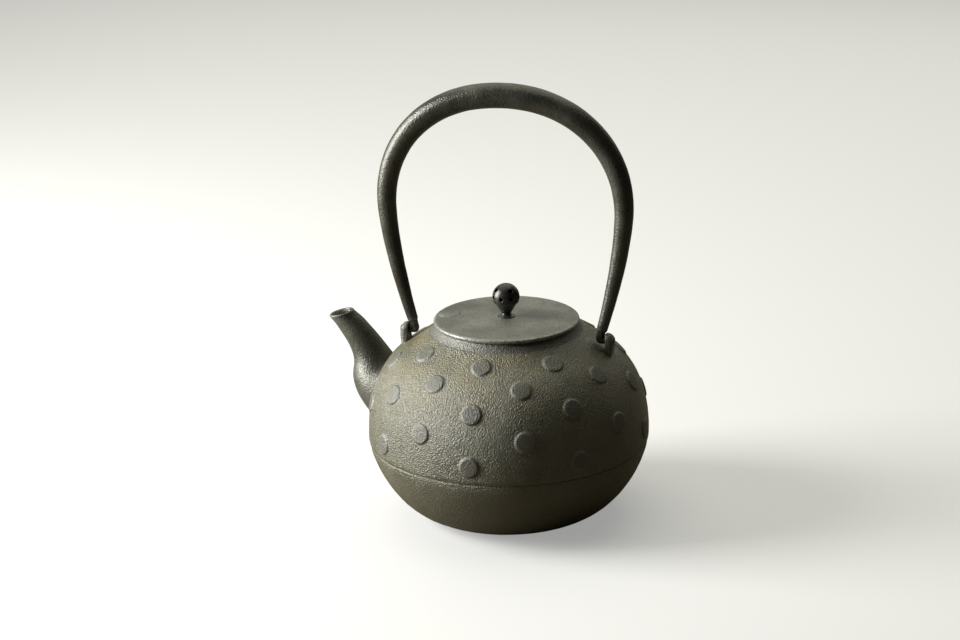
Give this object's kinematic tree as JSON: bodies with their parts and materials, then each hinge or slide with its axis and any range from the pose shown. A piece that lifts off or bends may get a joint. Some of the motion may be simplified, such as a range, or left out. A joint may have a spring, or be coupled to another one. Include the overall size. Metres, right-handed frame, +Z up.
{
  "type": "cast iron kettle",
  "caption": "Round cast iron water kettle with raised dots on its shoulder, a curved spout, a loose flat lid with a pierced ball knob, and a thick arched handle that folds down.",
  "frame": {"origin": "centre of the flat base, on the surface that the kettle stands on", "axes": "+Z up along the pot's axis; the spout points along -X; the handle stands in the XZ plane and turns about an axis along X"},
  "size_m": [0.1853, 0.1618, 0.2491],
  "materials": {
    "pot_iron": "sandy cast skin, olive grey, dry",
    "spout_iron": "fine cast skin, dark grey, slightly oiled",
    "ear_iron": "cast skin, dark grey",
    "handle_iron": "forged, blackened, satin",
    "lid_iron": "fine turned skin, grey green, satin",
    "knob_iron": "smooth, dark, polished by hands"
  },
  "bodies": {
    "kettle": {"pot": "pot_iron", "spout": "spout_iron", "ear_spout_side": "ear_iron", "ear_rear": "ear_iron"},
    "handle": {"handle_bar": "handle_iron", "handle_end_spout_side": "handle_iron", "handle_end_rear": "handle_iron"},
    "lid": {"lid": "lid_iron", "knob": "knob_iron", "knob_washer": "knob_iron", "knob_rivet": "knob_iron"}
  },
  "joints": [
    {"name": "handle_swing", "type": "hinge", "parent": "kettle", "child": "handle", "pos_m": [0, 0, 0.1038], "axis": [1, 0, 0], "range_deg": [-95, 95]},
    {"name": "lid_lift", "type": "slide", "parent": "kettle", "child": "lid", "axis": [0, 0, 1], "range_m": [0, 0.06]}
  ]
}
